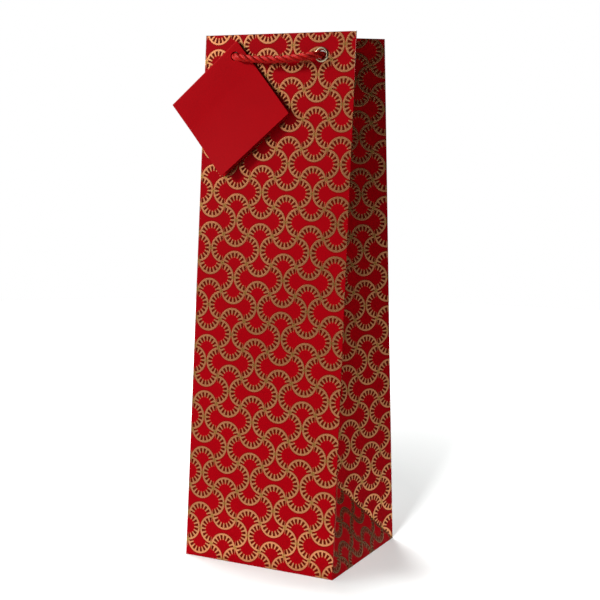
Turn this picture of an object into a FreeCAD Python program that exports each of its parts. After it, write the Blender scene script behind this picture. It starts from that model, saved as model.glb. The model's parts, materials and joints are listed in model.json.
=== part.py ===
import FreeCAD, Part
import math
import os
import Sketcher

# A single-bottle gift bag that stands open: a printed paper wrap with a block bottom, two
# pleated side gussets, a turned-over mouth with board inside the hem, four eyelets, two rope
# handles whose slack hangs inside, and a folded card tag on the front handle.
#
# Frame: millimetres, +Z up, X across the front (right seen from the front), the front faces
# -Y. The origin is the centre of the base, on the surface that the bag stands on.
#
# Every piece of a panel is drawn in the panel's own frame: x across, y up the sheet from the
# bottom fold, z out of the bag, with z = 0 on the printed face.

SIZES = {
    # The wrap
    "bag_width": 112.0,
    "bag_depth": 105.0,
    "sheet_height": 356.0,
    "paper": 0.3,
    "front_lean": 3.575,
    "back_lean": 5.836,
    "side_lean": 22.8,
    "fold_gap": 0.15,
    "fold_clearance": 0.38,
    "crease_inset": 0.4,
    # The mouth
    "hem_drop": 40.0,
    "board": 0.8,
    "board_drop": 37.0,
    "hem_clearance": 0.9,
    # The glued seam inside the back panel
    "seam_width": 12.0,
    "seam_foot": 6.0,
    # The base
    "flap_gap": 0.9,
    "flap_taper": 5.0,
    "back_flap_reach": 78.0,
    "front_flap_reach": 66.0,
    "side_flap_reach": 42.0,
    "base_card": 1.0,
    "base_card_gap": 2.0,
    "base_card_corner": 3.0,
    # Eyelets
    "eyelet_reach": 31.5,
    "eyelet_drop": 14.6,
    "cord_play": 0.5,
    "barrel_wall": 0.5,
    "flange_width": 1.4,
    "flange_height": 0.7,
    "flange_edge": 0.3,
    "eyelet_play": 0.03,
    "washer_width": 1.7,
    "washer": 0.35,
    "curl_width": 0.8,
    "curl": 0.45,
    # Handles
    "cord": 5.2,
    "knot_swell": 3.4,
    "knot_length": 11.0,
    "knot_round": 3.2,
    "tail_length": 9.0,
    # The tag
    "tag_side": 64.2,
    "tag_card": 0.4,
    "tag_hole_play": 1.4,
    "tag_hole_inset": 7.3,
    "tag_turn": -48.8,
    "tag_clearance": 0.35,
    "leaf_gap": 0.65,
    "bend_inset": 21.8,
    "bend_gap": 0.3,
}

VOLUME_TOLERANCE = 0.01

# The route of a handle in its panel's frame: across, down from the mouth, out of the printed
# face. It climbs from the left knot inside the bag, comes out of the left eyelet, crosses to
# the right eyelet with a slight sag and goes down inside to the right knot.
CORD_ROUTE = [
    (-29.2, 131.0, -8.4),
    (-29.2, 84.0, -8.4),
    (-30.6, 38.5, -7.3),
    (-31.5, 14.2, -6.6),
    (-31.5, 15.3, 6.2),
    (-10.5, 18.2, 6.8),
    (11.5, 18.0, 6.7),
    (31.5, 15.3, 6.2),
    (31.5, 14.2, -6.6),
    (30.8, 38.0, -7.4),
    (29.2, 83.0, -8.4),
    (29.2, 129.0, -8.4),
]

os.makedirs("parts", exist_ok=True)
doc = FreeCAD.newDocument("gift_bag")
sheet = doc.addObject("Spreadsheet::Sheet", "Sizes")
for row, (alias, size) in enumerate(SIZES.items(), start=1):
    sheet.set(f"A{row}", alias)
    sheet.set(f"B{row}", str(size))
    sheet.setAlias(f"B{row}", alias)
doc.recompute()

nodes = []


def value(alias):
    """Read a driving size from the spreadsheet."""
    return float(getattr(sheet, alias))


def bound(text):
    """Turn words in braces into references to cells of the spreadsheet."""
    return text.replace("{", "Sizes.").replace("}", "")


# ---------------------------------------------------------------- placements


class Side:
    """One of the two big panels: its name, lean and which way it faces."""

    def __init__(self, name, lean, facing):
        self.name = name
        self.lean = lean
        self.facing = facing

    def placement(self, across="0", up="0", out="0", turn="0"):
        """Expression that takes a point of the panel's frame to the bag's frame."""
        lean = "{" + self.lean + "}"
        sign = "-" if self.facing < 0 else ""
        inward = f"(({up}) * sin({lean}) - ({out}) * cos({lean}))"
        x = f"{'' if self.facing < 0 else '-'}({across})"
        y = f"{sign}({{bag_depth}} / 2 - {inward})"
        z = f"({up}) * cos({lean}) + ({out}) * sin({lean})"
        upright = f"rotation(vector(1; 0; 0); 90 - {lean})"
        spin = f"rotation(vector(0; 0; 1); {turn})"
        about = "0" if self.facing < 0 else "180"
        facing = f"rotation(vector(0; 0; 1); {about})"
        return bound(f"placement(vector({x}; {y}; {z}); {facing} * {upright} * {spin})")

    def hand(self, sign):
        """Name the side of the bag, seen from the front, at a signed place across the panel."""
        return "left" if sign * self.facing > 0 else "right"


FRONT = Side("front", "front_lean", -1)
BACK = Side("back", "back_lean", 1)
ON_BASE = "placement(vector(0; 0; 0); rotation(vector(0; 0; 1); 0))"


# ---------------------------------------------------------------- drawing helpers


def start_body(label, placement):
    """Make an empty body whose placement follows the spreadsheet."""
    body = doc.addObject("PartDesign::Body", label)
    body.Label = label
    body.setExpression("Placement", placement)
    nodes.append(body)
    return body


def start_sketch(body, plane="XY_Plane", lift="0"):
    """Start a sketch on one of the body's own planes, lifted along the plane's normal."""
    sketch = body.newObject("Sketcher::SketchObject", f"{body.Label}_sketch")
    base = next(item for item in body.Origin.OriginFeatures if item.Role == plane)
    sketch.AttachmentSupport = (base, "")
    sketch.MapMode = "FlatFace"
    sketch.setExpression("AttachmentOffset.Base.z", bound(lift))
    return sketch


def pin(sketch, curve, end, across, along):
    """Hold a point of a curve at bound distances from the sketch's origin."""
    point = sketch.getPoint(curve, end)
    for kind, text, now in (("DistanceX", across, point.x), ("DistanceY", along, point.y)):
        index = sketch.addConstraint(Sketcher.Constraint(kind, -1, 1, curve, end, now))
        sketch.setExpression(f"Constraints[{index}]", bound(text))


def number(text):
    """Work out a bound expression's value now, to start a sketch near its final shape."""
    return float(sheet.evalExpression(bound(text).replace("Sizes.", "")))


def add_outline(sketch, corners):
    """Draw a closed outline through corners given as pairs of bound expressions."""
    points = [FreeCAD.Vector(number(x), number(y), 0) for x, y in corners]
    first = sketch.GeometryCount
    for index, point in enumerate(points):
        after = points[(index + 1) % len(points)]
        sketch.addGeometry(Part.LineSegment(point, after), False)
    for index, corner in enumerate(corners):
        before = first + (index - 1) % len(corners)
        sketch.addConstraint(Sketcher.Constraint("Coincident", before, 2, first + index, 1))
        pin(sketch, first + index, 1, *corner)


def add_circle(sketch, across, along, radius):
    """Draw a circle with a bound place and radius."""
    centre = FreeCAD.Vector(number(across), number(along), 0)
    circle = Part.Circle(centre, FreeCAD.Vector(0, 0, 1), number(radius))
    index = sketch.addGeometry(circle, False)
    pin(sketch, index, 3, across, along)
    size = sketch.addConstraint(Sketcher.Constraint("Radius", index, number(radius)))
    sketch.setExpression(f"Constraints[{size}]", bound(radius))


def box_outline(left, right, low, high):
    """Corners of a rectangle between bound expressions."""
    return [(left, low), (right, low), (right, high), (left, high)]


def pad(body, sketch, length):
    """Raise a sketch into a plate of bound thickness."""
    feature = body.newObject("PartDesign::Pad", f"{body.Label}_pad")
    feature.Profile = sketch
    feature.setExpression("Length", bound(length))
    return feature


def plate(label, placement, corners, length, lift="0", holes=()):
    """A flat plate with round holes, from its lower face at the given lift."""
    body = start_body(label, placement)
    sketch = start_sketch(body, lift=lift)
    add_outline(sketch, corners)
    for hole in holes:
        add_circle(sketch, *hole)
    pad(body, sketch, length)
    return body


def turned(label, placement, corners, plane):
    """A solid of revolution about the sketch's upright axis."""
    body = start_body(label, placement)
    sketch = start_sketch(body, plane)
    add_outline(sketch, corners)
    feature = body.newObject("PartDesign::Revolution", f"{label}_turn")
    feature.Profile = sketch
    feature.ReferenceAxis = (sketch, ["V_Axis"])
    feature.Angle = 360
    return body


# ---------------------------------------------------------------- the two big panels

EYELET_HEIGHT = "({sheet_height} - {eyelet_drop})"
MOUTH_STACK = "(2 * {paper} + {board})"
GRIP = f"({MOUTH_STACK} + {{washer}})"
MOUTH_DEPTH = "({bag_depth} - {sheet_height} * (sin({front_lean}) + sin({back_lean})))"
WEDGE = f"asin({MOUTH_DEPTH} / {{bag_depth}})"
HALF_PANEL = "({bag_width} / 2 - {fold_gap})"
HALF_MOUTH = f"({{bag_width}} / 2 - ({MOUTH_STACK} + {{hem_clearance}}) / tan({WEDGE}))"
BORE = "({cord} / 2 + {cord_play})"
BARREL = f"({BORE} + {{barrel_wall}})"
BARREL_HOLE = f"({BARREL} + {{eyelet_play}})"
FLANGE = f"({BARREL} + {{flange_width}})"
CURL = f"({BARREL} + {{curl_width}})"


def eyelet_holes():
    """The pair of holes that the eyelets of one panel need."""
    return [(across, EYELET_HEIGHT, BARREL_HOLE) for across in ("-{eyelet_reach}", "{eyelet_reach}")]


def make_panel(side):
    """The printed sheet from the bottom fold to the fold of the hem."""
    corners = box_outline(f"-{HALF_PANEL}", HALF_PANEL, "{fold_gap}", "{sheet_height} - {paper}")
    plate(f"{side.name}_panel", side.placement(), corners, "{paper}", "-{paper}", eyelet_holes())


def make_board(side):
    """The strip of board that stiffens the mouth inside the hem."""
    low = "{sheet_height} - {board_drop}"
    corners = box_outline(f"-{HALF_MOUTH}", HALF_MOUTH, low, "{sheet_height} - {paper}")
    label = f"{side.name}_mouth_board"
    plate(label, side.placement(), corners, "{board}", "-{paper} - {board}", eyelet_holes())


def make_hem(side):
    """The turned-over edge: a leaf inside the board and the fold that caps the mouth."""
    label = f"{side.name}_hem"
    body = start_body(label, side.placement())
    leaf = start_sketch(body, lift=f"-{MOUTH_STACK}")
    low = "{sheet_height} - {hem_drop}"
    add_outline(leaf, box_outline(f"-{HALF_MOUTH}", HALF_MOUTH, low, "{sheet_height}"))
    for hole in eyelet_holes():
        add_circle(leaf, *hole)
    pad(body, leaf, "{paper}")
    cap = start_sketch(body, lift=f"-{MOUTH_STACK}")
    top = "{sheet_height} - {paper}"
    add_outline(cap, box_outline(f"-{HALF_MOUTH}", HALF_MOUTH, top, "{sheet_height}"))
    body.Tip = pad(body, cap, MOUTH_STACK)


def make_eyelet(side, sign):
    """A brass eyelet: a domed flange outside, a barrel through the mouth, a curl inside."""
    label = f"{side.name}_{side.hand(sign)}_eyelet"
    placement = side.placement(f"{sign} * {{eyelet_reach}}", EYELET_HEIGHT)
    corners = [
        (BORE, "{flange_height}"),
        (BORE, f"-{GRIP} - {{curl}}"),
        (CURL, f"-{GRIP} - {{curl}}"),
        (CURL, f"-{GRIP}"),
        (BARREL, f"-{GRIP}"),
        (BARREL, "0"),
        (FLANGE, "0"),
        (FLANGE, "{flange_edge}"),
        (f"({BORE} + {FLANGE}) / 2", "{flange_height}"),
    ]
    turned(label, placement, corners, "XZ_Plane")


def make_washer(side, sign):
    """The flat ring under the eyelet's curl, against the hem."""
    label = f"{side.name}_{side.hand(sign)}_washer"
    placement = side.placement(f"{sign} * {{eyelet_reach}}", EYELET_HEIGHT)
    body = start_body(label, placement)
    sketch = start_sketch(body, lift=f"-{GRIP}")
    add_circle(sketch, "0", "0", f"{BARREL} + {{washer_width}}")
    add_circle(sketch, "0", "0", BARREL_HOLE)
    pad(body, sketch, "{washer}")


def make_seam():
    """The glued lap of the wrap, inside the back panel beside its left rear corner."""
    high = "{sheet_height} - {hem_drop}"
    corners = box_outline(f"{HALF_MOUTH} - {{seam_width}}", HALF_MOUTH, "{seam_foot}", high)
    plate("glue_seam_tab", BACK.placement(), corners, "{paper}", "-2 * {paper}")


# ---------------------------------------------------------------- handles


def cord_points():
    """The route in the panel's frame, with drops from the mouth turned into heights."""
    top = value("sheet_height")
    return [FreeCAD.Vector(across, top - drop, out) for across, drop, out in CORD_ROUTE]


def rounded_path(points, share=0.45):
    """Straight runs joined by tangent arcs, each as large as its two runs allow."""
    edges = []
    radii = []
    here = points[0]
    for before, corner, after in zip(points, points[1:], points[2:]):
        back = before - corner
        ahead = after - corner
        cut = share * min(back.Length, ahead.Length)
        half_turn = (math.pi - back.getAngle(ahead)) / 2
        radii.append(cut / math.tan(half_turn))
        start = corner + back.normalize() * cut
        finish = corner + ahead.normalize() * cut
        to_middle = (back + ahead).normalize()
        reach = radii[-1] / math.cos(half_turn) - radii[-1]
        middle = corner + to_middle * reach
        edges.append(Part.LineSegment(here, start).toShape())
        edges.append(Part.Arc(start, middle, finish).toShape())
        here = finish
    edges.append(Part.LineSegment(here, points[-1]).toShape())
    return Part.Wire(edges), radii


def make_cord(side):
    """One rope handle, a round tube from knot to knot."""
    path, radii = rounded_path(cord_points())
    start = path.Edges[0].valueAt(path.Edges[0].FirstParameter)
    along = path.Edges[0].tangentAt(path.Edges[0].FirstParameter)
    ring = Part.Wire(Part.Circle(start, along, value("cord") / 2).toShape())
    shape = path.makePipeShell([ring], True, False)
    expected = math.pi * value("cord") ** 2 / 4 * path.Length
    if abs(shape.Volume / expected - 1) > VOLUME_TOLERANCE:
        raise RuntimeError(f"{side.name} cord: volume {shape.Volume}, expected {expected}")
    cord = doc.addObject("Part::Feature", f"{side.name}_cord")
    cord.Label = f"{side.name}_cord"
    cord.Shape = shape
    cord.setExpression("Placement", side.placement())
    nodes.append(cord)
    print(f"{side.name} cord length {path.Length:.1f}, radii {[round(r, 1) for r in radii]}")


def make_knot(side, sign):
    """An overhand knot with its tail, under the end of the cord."""
    label = f"{side.name}_{side.hand(sign)}_knot"
    points = cord_points()
    end = points[-1] if sign > 0 else points[0]
    drop = value("sheet_height") - end.y
    placement = side.placement(str(end.x), f"{{sheet_height}} - {drop}", str(end.z))
    radius = "({cord} / 2 + {knot_swell})"
    corners = [
        ("0", "0"),
        (radius, "0"),
        (radius, "-{knot_length}"),
        ("{cord} / 2", "-{knot_length}"),
        ("{cord} / 2", "-{knot_length} - {tail_length}"),
        ("0", "-{knot_length} - {tail_length}"),
    ]
    body = turned(label, placement, corners, "XY_Plane")
    doc.recompute()
    barrel = body.Tip
    wider_than = (value("cord") + value("knot_swell")) / 2
    rims = [
        f"Edge{index}"
        for index, edge in enumerate(barrel.Shape.Edges, start=1)
        if isinstance(edge.Curve, Part.Circle) and edge.Curve.Radius > wider_than
    ]
    rounding = body.newObject("PartDesign::Fillet", f"{label}_round")
    rounding.Base = (barrel, rims)
    rounding.setExpression("Radius", bound("{knot_round}"))


# ---------------------------------------------------------------- gussets


def add_sheet_piece(label, corners, triangles, thickness):
    """A thin closed sheet over flat triangles, thickened away from their normals."""
    normals = [FreeCAD.Vector() for _ in corners]
    for a, b, c in triangles:
        normal = (corners[b] - corners[a]).cross(corners[c] - corners[a]).normalize()
        for index in (a, b, c):
            normals[index] += normal
    under = [point - normal.normalize() * thickness for point, normal in zip(corners, normals)]
    faces = []
    for a, b, c in triangles:
        faces.append(triangle(corners[a], corners[b], corners[c]))
        faces.append(triangle(under[c], under[b], under[a]))
    for index in range(len(corners)):
        after = (index + 1) % len(corners)
        faces.append(triangle(corners[index], under[index], corners[after]))
        faces.append(triangle(under[index], under[after], corners[after]))
    solid = Part.makeSolid(Part.makeShell(faces))
    if solid.Volume < 0:
        solid.reverse()
    piece = doc.addObject("Part::Feature", label)
    piece.Label = label
    piece.Shape = solid
    piece.setExpression("Placement", ON_BASE)
    nodes.append(piece)


def triangle(a, b, c):
    """A flat triangular face."""
    return Part.Face(Part.makePolygon([a, b, c, a]))


def toward(point, target, distance):
    """Move a point a set distance toward another."""
    return point + (target - point).normalize() * distance


class GussetPoints:
    """Corners and crease ends of the right-hand gusset, from the spreadsheet's sizes."""

    def __init__(self):
        half_width = value("bag_width") / 2
        half_depth = value("bag_depth") / 2
        height = value("sheet_height")
        front = math.radians(value("front_lean"))
        back = math.radians(value("back_lean"))
        side = math.radians(value("side_lean"))
        front_top = -half_depth + height * math.sin(front)
        back_top = half_depth - height * math.sin(back)
        half_mouth = (back_top - front_top) / 2
        inset = math.sqrt(half_depth**2 - half_mouth**2)
        self.wedge = math.asin(half_mouth / half_depth)
        crease_top = height * (math.cos(front) + math.cos(back)) / 2
        self.front_foot = FreeCAD.Vector(half_width, -half_depth, 0)
        self.back_foot = FreeCAD.Vector(half_width, half_depth, 0)
        self.front_head = FreeCAD.Vector(half_width, front_top, height * math.cos(front))
        self.back_head = FreeCAD.Vector(half_width, back_top, height * math.cos(back))
        middle = (front_top + back_top) / 2
        self.crease_head = FreeCAD.Vector(half_width - inset, middle, crease_top)
        apex = FreeCAD.Vector(half_depth * math.sin(side), 0, half_depth * math.cos(side))
        self.crease_foot = FreeCAD.Vector(half_width - apex.x, 0, apex.z)


def mirrored(points, hand):
    """Points for the named side of the bag."""
    if hand == "right":
        return points
    return [FreeCAD.Vector(-point.x, point.y, point.z) for point in points]


def facing_out(triangles, hand, flipped):
    """Order triangles so that their normals point out of the bag."""
    if (hand == "left") != flipped:
        return [(a, c, b) for a, b, c in triangles]
    return triangles


def make_gusset_half(hand, which):
    """Half of a pleated side: a twisted sheet between a corner of the bag and the crease."""
    gusset = GussetPoints()
    is_front = which == "front"
    foot = gusset.front_foot if is_front else gusset.back_foot
    head = gusset.front_head if is_front else gusset.back_head
    corner_inset = (value("fold_clearance") + 2 * value("paper")) / math.sin(gusset.wedge)
    crease_inset = value("crease_inset")
    lifted_foot = toward(foot, head, value("flap_gap") + corner_inset)
    corners = [
        toward(lifted_foot, gusset.crease_foot, corner_inset / 2),
        toward(gusset.crease_foot, foot, crease_inset) + FreeCAD.Vector(0, 0, crease_inset),
        toward(gusset.crease_head, head, crease_inset),
        toward(head, gusset.crease_head, corner_inset),
    ]
    triangles = facing_out([(0, 1, 3), (1, 2, 3)], hand, not is_front)
    label = f"{hand}_gusset_{which}_half"
    add_sheet_piece(label, mirrored(corners, hand), triangles, value("paper"))


def make_gusset_foot(hand):
    """The flat triangle that the pleat opens into above the base."""
    gusset = GussetPoints()
    gap = value("crease_inset")
    lift = FreeCAD.Vector(0, 0, value("paper"))
    middle = FreeCAD.Vector(gusset.front_foot.x, 0, 0)
    corners = [
        toward(gusset.front_foot, gusset.back_foot, value("flap_gap") + gap) + lift,
        toward(gusset.back_foot, gusset.front_foot, value("flap_gap") + gap) + lift,
        toward(gusset.crease_foot, middle, gap),
    ]
    triangles = facing_out([(0, 1, 2)], hand, False)
    label = f"{hand}_gusset_base_triangle"
    add_sheet_piece(label, mirrored(corners, hand), triangles, value("paper"))


# ---------------------------------------------------------------- the base


def make_flap(name, fold, reach, lift, turn):
    """A flap of the block bottom, drawn from its fold inward and turned to its edge."""
    half = f"({fold[0]} / 2 - {{flap_gap}})"
    start = f"({fold[1]} / 2 - {{flap_gap}})"
    end = f"({fold[1]} / 2 - {reach})"
    corners = [
        (f"-{half}", start),
        (half, start),
        (f"{half} - {{flap_taper}}", end),
        (f"{{flap_taper}} - {half}", end),
    ]
    placement = f"placement(vector(0; 0; 0); rotation(vector(0; 0; 1); {turn}))"
    plate(name, placement, corners, "{paper}", lift)


def make_base():
    """Four folded flaps, the back one outermost, and the loose card that lies on them."""
    across = ("{bag_width}", "{bag_depth}")
    along = ("{bag_depth}", "{bag_width}")
    make_flap("base_back_flap", across, "{back_flap_reach}", "0", 0)
    make_flap("base_front_flap", across, "{front_flap_reach}", "{paper}", 180)
    make_flap("base_left_side_flap", along, "{side_flap_reach}", "2 * {paper}", 90)
    make_flap("base_right_side_flap", along, "{side_flap_reach}", "2 * {paper}", 270)
    half_width = "({bag_width} / 2 - {base_card_gap})"
    half_depth = "({bag_depth} / 2 - {base_card_gap})"
    cut = "{base_card_corner}"
    corners = [
        (f"{cut} - {half_width}", f"-{half_depth}"),
        (f"{half_width} - {cut}", f"-{half_depth}"),
        (half_width, f"{cut} - {half_depth}"),
        (half_width, f"{half_depth} - {cut}"),
        (f"{half_width} - {cut}", half_depth),
        (f"{cut} - {half_width}", half_depth),
        (f"-{half_width}", f"{half_depth} - {cut}"),
        (f"-{half_width}", f"{cut} - {half_depth}"),
    ]
    plate("base_card", ON_BASE, corners, "{base_card}", "3 * {paper}")


# ---------------------------------------------------------------- the tag

TAG_STANDOFF = "{flange_height} + {tag_clearance}"
TAG_PLACEMENT = FRONT.placement("-{eyelet_reach}", EYELET_HEIGHT, TAG_STANDOFF, "{tag_turn}")
TAG_EDGE = "(-{tag_hole_inset})"
TAG_FAR = "({tag_side} - {tag_hole_inset})"
BEND = "({bend_inset} - {tag_hole_inset})"


def make_tag():
    """A folded square card hung by one corner; its origin is the centre of its hole."""
    square = box_outline(TAG_EDGE, TAG_FAR, f"-{TAG_FAR}", "{tag_hole_inset}")
    hole = [("0", "0", "{cord} / 2 + {tag_hole_play}")]
    plate("tag_back_leaf", TAG_PLACEMENT, square, "{tag_card}", holes=hole)
    front = "{tag_card} + {leaf_gap}"
    body = start_body("tag_fold_strip", TAG_PLACEMENT)
    spine = start_sketch(body, lift="{tag_card}")
    spine_edge = f"{TAG_EDGE} + {{tag_card}}"
    add_outline(spine, box_outline(TAG_EDGE, spine_edge, f"-{TAG_FAR}", "{tag_hole_inset}"))
    pad(body, spine, "{leaf_gap} + {tag_card}")
    strip = start_sketch(body, lift=front)
    strip_edge = f"{BEND} - {{bend_gap}}"
    add_outline(strip, box_outline(TAG_EDGE, strip_edge, f"-{TAG_FAR}", "{tag_hole_inset}"))
    add_circle(strip, *hole[0])
    body.Tip = pad(body, strip, "{tag_card}")
    flap_edge = f"{BEND} + {{bend_gap}}"
    flap = box_outline(flap_edge, TAG_FAR, f"-{TAG_FAR}", "{tag_hole_inset}")
    plate("tag_front_leaf", TAG_PLACEMENT, flap, "{tag_card}", front)


# ---------------------------------------------------------------- build, check, write


def check_document():
    """Stop if any object failed or any sub-part is empty or invalid."""
    for item in doc.Objects:
        if "Invalid" in item.State or "Error" in item.State:
            raise RuntimeError(f"{item.Label} failed: {item.State}")
    for node in nodes:
        if node.Shape.isNull() or not node.Shape.isValid():
            raise RuntimeError(f"{node.Label} has no valid shape")
        if len(node.Shape.Solids) != 1:
            raise RuntimeError(f"{node.Label} has {len(node.Shape.Solids)} solids")


for side in (FRONT, BACK):
    make_panel(side)
    make_board(side)
    make_hem(side)
    for sign in (-1, 1):
        make_eyelet(side, sign)
        make_washer(side, sign)
        make_knot(side, sign)
    make_cord(side)
make_seam()
for hand in ("left", "right"):
    make_gusset_foot(hand)
    for which in ("front", "rear"):
        make_gusset_half(hand, which)
make_base()
make_tag()

doc.recompute()
check_document()
for node in nodes:
    node.Shape.exportStep(f"parts/{node.Label}.step")
print(f"{len(nodes)} parts written")
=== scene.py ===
"""A single-bottle paper gift bag with rope handles and a folded card tag.

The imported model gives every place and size. This file lays the printed paper,
rope, brass and card over it, and sets the studio that it stands in.
"""

import json
import logging
import math
from collections.abc import Callable, Sequence
from dataclasses import dataclass, field
from enum import Enum

import bpy
from mathutils import Matrix, Vector

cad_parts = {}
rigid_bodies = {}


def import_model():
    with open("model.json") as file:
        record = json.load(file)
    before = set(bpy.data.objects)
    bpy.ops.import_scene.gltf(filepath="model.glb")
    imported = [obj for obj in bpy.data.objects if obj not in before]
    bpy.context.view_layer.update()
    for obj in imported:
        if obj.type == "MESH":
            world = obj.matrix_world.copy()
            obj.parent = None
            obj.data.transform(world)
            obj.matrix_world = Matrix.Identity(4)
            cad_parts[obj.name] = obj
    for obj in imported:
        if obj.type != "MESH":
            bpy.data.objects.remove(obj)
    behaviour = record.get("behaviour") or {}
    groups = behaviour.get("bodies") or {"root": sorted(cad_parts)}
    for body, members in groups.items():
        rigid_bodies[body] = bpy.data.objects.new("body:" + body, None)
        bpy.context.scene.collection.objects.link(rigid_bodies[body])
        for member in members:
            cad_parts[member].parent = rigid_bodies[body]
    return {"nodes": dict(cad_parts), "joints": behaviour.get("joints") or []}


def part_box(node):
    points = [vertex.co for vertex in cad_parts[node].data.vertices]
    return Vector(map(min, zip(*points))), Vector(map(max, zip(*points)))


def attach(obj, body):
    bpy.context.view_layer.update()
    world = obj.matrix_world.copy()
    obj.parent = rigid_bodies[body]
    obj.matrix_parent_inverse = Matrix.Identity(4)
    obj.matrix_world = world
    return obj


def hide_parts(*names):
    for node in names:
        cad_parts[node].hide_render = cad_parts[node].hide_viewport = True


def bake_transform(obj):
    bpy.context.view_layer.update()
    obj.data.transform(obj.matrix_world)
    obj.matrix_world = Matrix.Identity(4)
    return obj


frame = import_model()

logging.basicConfig(level=logging.INFO, format="%(levelname)s %(message)s")
LOG = logging.getLogger("gift_bag")

MM = 0.001
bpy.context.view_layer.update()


# ---------------------------------------------------------------- small tools


def linear(code: str) -> tuple[float, float, float, float]:
    """Turn an sRGB hex code into linear red, green, blue and alpha."""
    parts = [int(code[i : i + 2], 16) / 255 for i in (1, 3, 5)]
    curve = [p / 12.92 if p <= 0.04045 else ((p + 0.055) / 1.055) ** 2.4 for p in parts]
    return (curve[0], curve[1], curve[2], 1.0)


def feed(made: bpy.types.Node, inputs: dict) -> None:
    """Set or link a node's inputs.

    Args:
        made: The node.
        inputs: Values or output sockets for its inputs, by name or number.
    """
    for name, value in inputs.items():
        if isinstance(value, bpy.types.NodeSocket):
            made.id_data.links.new(value, made.inputs[name])
        else:
            made.inputs[name].default_value = value


def node(
    tree: bpy.types.NodeTree, kind: str, inputs: dict | None = None, **settings: object
) -> bpy.types.Node:
    """Add a node to a tree.

    Args:
        tree: The node tree that it goes in.
        kind: The node's type name, without the leading "ShaderNode".
        inputs: Values or output sockets for its inputs, by name or number.
        **settings: Other settings of the node.

    Returns:
        The new node.
    """
    made = tree.nodes.new(f"ShaderNode{kind}")
    for name, value in settings.items():
        setattr(made, name, value)
    feed(made, inputs or {})
    return made


def clear_selection() -> None:
    """Leave edit mode and deselect everything."""
    if bpy.context.object and bpy.context.object.mode != "OBJECT":
        bpy.ops.object.mode_set(mode="OBJECT")
    for thing in bpy.context.view_layer.objects:
        if thing.select_get():
            thing.select_set(False)


def select_only(piece: bpy.types.Object) -> None:
    """Make one piece the selected and active one."""
    clear_selection()
    piece.select_set(True)
    bpy.context.view_layer.objects.active = piece


def apply_modifier(piece: bpy.types.Object, kind: str, **settings: object) -> None:
    """Add a modifier to a piece and apply it.

    Args:
        piece: The piece that it changes.
        kind: The modifier's type.
        **settings: The modifier's settings.
    """
    select_only(piece)
    modifier = piece.modifiers.new(kind.lower(), kind)
    for name, value in settings.items():
        setattr(modifier, name, value)
    bpy.ops.object.modifier_apply(modifier=modifier.name)


def soften(piece: bpy.types.Object, degrees: float = 35.0) -> None:
    """Shade a piece smooth, except over edges sharper than an angle."""
    select_only(piece)
    bpy.ops.object.shade_smooth_by_angle(angle=math.radians(degrees))


@dataclass(frozen=True)
class Board3D:
    """A flat working frame: an origin in metres and three unit directions."""

    origin: Vector
    across: Vector
    up: Vector
    out: Vector

    def point(self, across: float, up: float, out: float = 0.0) -> Vector:
        """Give the place of a point named in millimetres in this frame."""
        return self.origin + (self.across * across + self.up * up + self.out * out) * MM

    def moved(self, across: float, up: float, out: float, turn: float = 0.0) -> "Board3D":
        """Give this frame moved by millimetres and turned by degrees about its outward direction."""
        c, s = math.cos(math.radians(turn)), math.sin(math.radians(turn))
        return Board3D(
            self.point(across, up, out),
            self.across * c + self.up * s,
            self.up * c - self.across * s,
            self.out,
        )


def lay_sheet(
    name: str,
    across: Sequence[float],
    along: Sequence[float],
    place: Callable[[float, float], Vector],
    printed: Callable[[float, float], tuple[float, float]],
    outward: Vector,
    thickness: float,
) -> bpy.types.Object:
    """Lay a sheet of paper or card over a grid of stations and give it its thickness.

    Args:
        name: The piece's name.
        across: Stations across the sheet, in millimetres.
        along: Stations along the sheet, in millimetres.
        place: Turns a pair of stations into a point in metres.
        printed: Turns a pair of stations into the print's own place, in metres.
        outward: A direction that the printed side roughly faces.
        thickness: The sheet's thickness in millimetres, taken from the plain side.

    Returns:
        The sheet, with slot 0 on its printed side, 1 on its plain side and 2 on its edges.
    """
    clear_selection()
    columns, rows = len(across) - 1, len(along) - 1
    bpy.ops.mesh.primitive_grid_add(x_subdivisions=columns, y_subdivisions=rows, size=1)
    piece = bpy.context.object
    piece.name = name
    mesh = piece.data
    stations = []
    for vertex in mesh.vertices:
        a = across[round((vertex.co.x + 0.5) * columns)]
        b = along[round((vertex.co.y + 0.5) * rows)]
        stations.append((a, b))
        vertex.co = place(a, b)
    marks = mesh.uv_layers[0] if mesh.uv_layers else mesh.uv_layers.new()
    marks.name = "sheet"
    for loop in mesh.loops:
        marks.data[loop.index].uv = printed(*stations[loop.vertex_index])
    mesh.update()
    facing = sum((face.normal * face.area for face in mesh.polygons), Vector())
    if facing.dot(outward) < 0:
        mesh.flip_normals()
    for _ in range(3):
        mesh.materials.append(None)
    apply_modifier(
        piece,
        "SOLIDIFY",
        thickness=thickness * MM,
        offset=-1.0,
        use_even_offset=True,
        use_rim=True,
        material_offset=1,
        material_offset_rim=2,
    )
    soften(piece)
    return piece


def punch(piece: bpy.types.Object, board: Board3D, across: float, up: float, radius: float) -> None:
    """Punch a round hole through a sheet.

    Args:
        piece: The sheet.
        board: The working frame of the sheet.
        across: The hole's centre across the frame, in millimetres.
        up: The hole's centre up the frame, in millimetres.
        radius: The hole's radius in millimetres.
    """
    clear_selection()
    bpy.ops.mesh.primitive_cylinder_add(
        vertices=64,
        radius=radius * MM,
        depth=12 * MM,
        location=board.point(across, up),
        rotation=board.out.to_track_quat("Z", "Y").to_euler(),
    )
    punch_tool = bpy.context.object
    apply_modifier(piece, "BOOLEAN", operation="DIFFERENCE", object=punch_tool, solver="EXACT")
    bpy.data.objects.remove(punch_tool)


def spread(low: float, high: float, count: int) -> list[float]:
    """Give evenly spaced stations from low to high."""
    return [low + (high - low) * i / count for i in range(count + 1)]


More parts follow.
